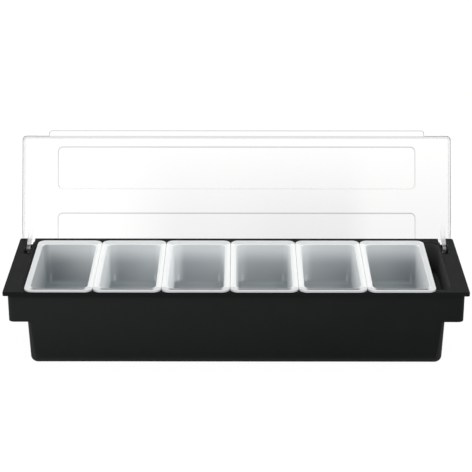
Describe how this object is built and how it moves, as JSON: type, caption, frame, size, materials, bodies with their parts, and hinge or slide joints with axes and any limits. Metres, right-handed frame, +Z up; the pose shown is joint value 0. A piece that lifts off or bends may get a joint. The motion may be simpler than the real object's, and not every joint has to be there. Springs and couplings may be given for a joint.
{
  "type": "bar garnish tray",
  "caption": "Long black tub with a rim, holding a row of white lift-out pans under a clear lid that swings open on two end arms.",
  "frame": {"origin": "centre of the rim's outline, at the height of the underside that the tray stands on", "axes": "+X along the row of inserts, towards the end with the gap; +Y towards the lid's hinge at the back; +Z up"},
  "size_m": [0.495, 0.2037, 0.2001],
  "materials": {
    "black_plastic": "satin moulded",
    "white_plastic": "glossy, slightly translucent",
    "clear_plastic": "clear and polished",
    "black_pin": "satin"
  },
  "bodies": {
    "base": {"base_tray": "black_plastic", "hinge_pin_left": "black_pin", "hinge_pin_right": "black_pin"},
    "lid": {"lid": "clear_plastic"},
    "insert_1": {"insert_1": "white_plastic"},
    "insert_2": {"insert_2": "white_plastic"},
    "insert_3": {"insert_3": "white_plastic"},
    "insert_4": {"insert_4": "white_plastic"},
    "insert_5": {"insert_5": "white_plastic"},
    "insert_6": {"insert_6": "white_plastic"}
  },
  "joints": [
    {"name": "lid_hinge", "type": "hinge", "parent": "base", "child": "lid", "pos_m": [0, 0.059, 0.0809], "axis": [-1, 0, 0], "range_deg": [-114, 0]},
    {"name": "insert_1_lift", "type": "slide", "parent": "base", "child": "insert_1", "axis": [0, 0, 1], "range_m": [0, 0.09]},
    {"name": "insert_2_lift", "type": "slide", "parent": "base", "child": "insert_2", "axis": [0, 0, 1], "range_m": [0, 0.09]},
    {"name": "insert_3_lift", "type": "slide", "parent": "base", "child": "insert_3", "axis": [0, 0, 1], "range_m": [0, 0.09]},
    {"name": "insert_4_lift", "type": "slide", "parent": "base", "child": "insert_4", "axis": [0, 0, 1], "range_m": [0, 0.09]},
    {"name": "insert_5_lift", "type": "slide", "parent": "base", "child": "insert_5", "axis": [0, 0, 1], "range_m": [0, 0.09]},
    {"name": "insert_6_lift", "type": "slide", "parent": "base", "child": "insert_6", "axis": [0, 0, 1], "range_m": [0, 0.09]}
  ]
}
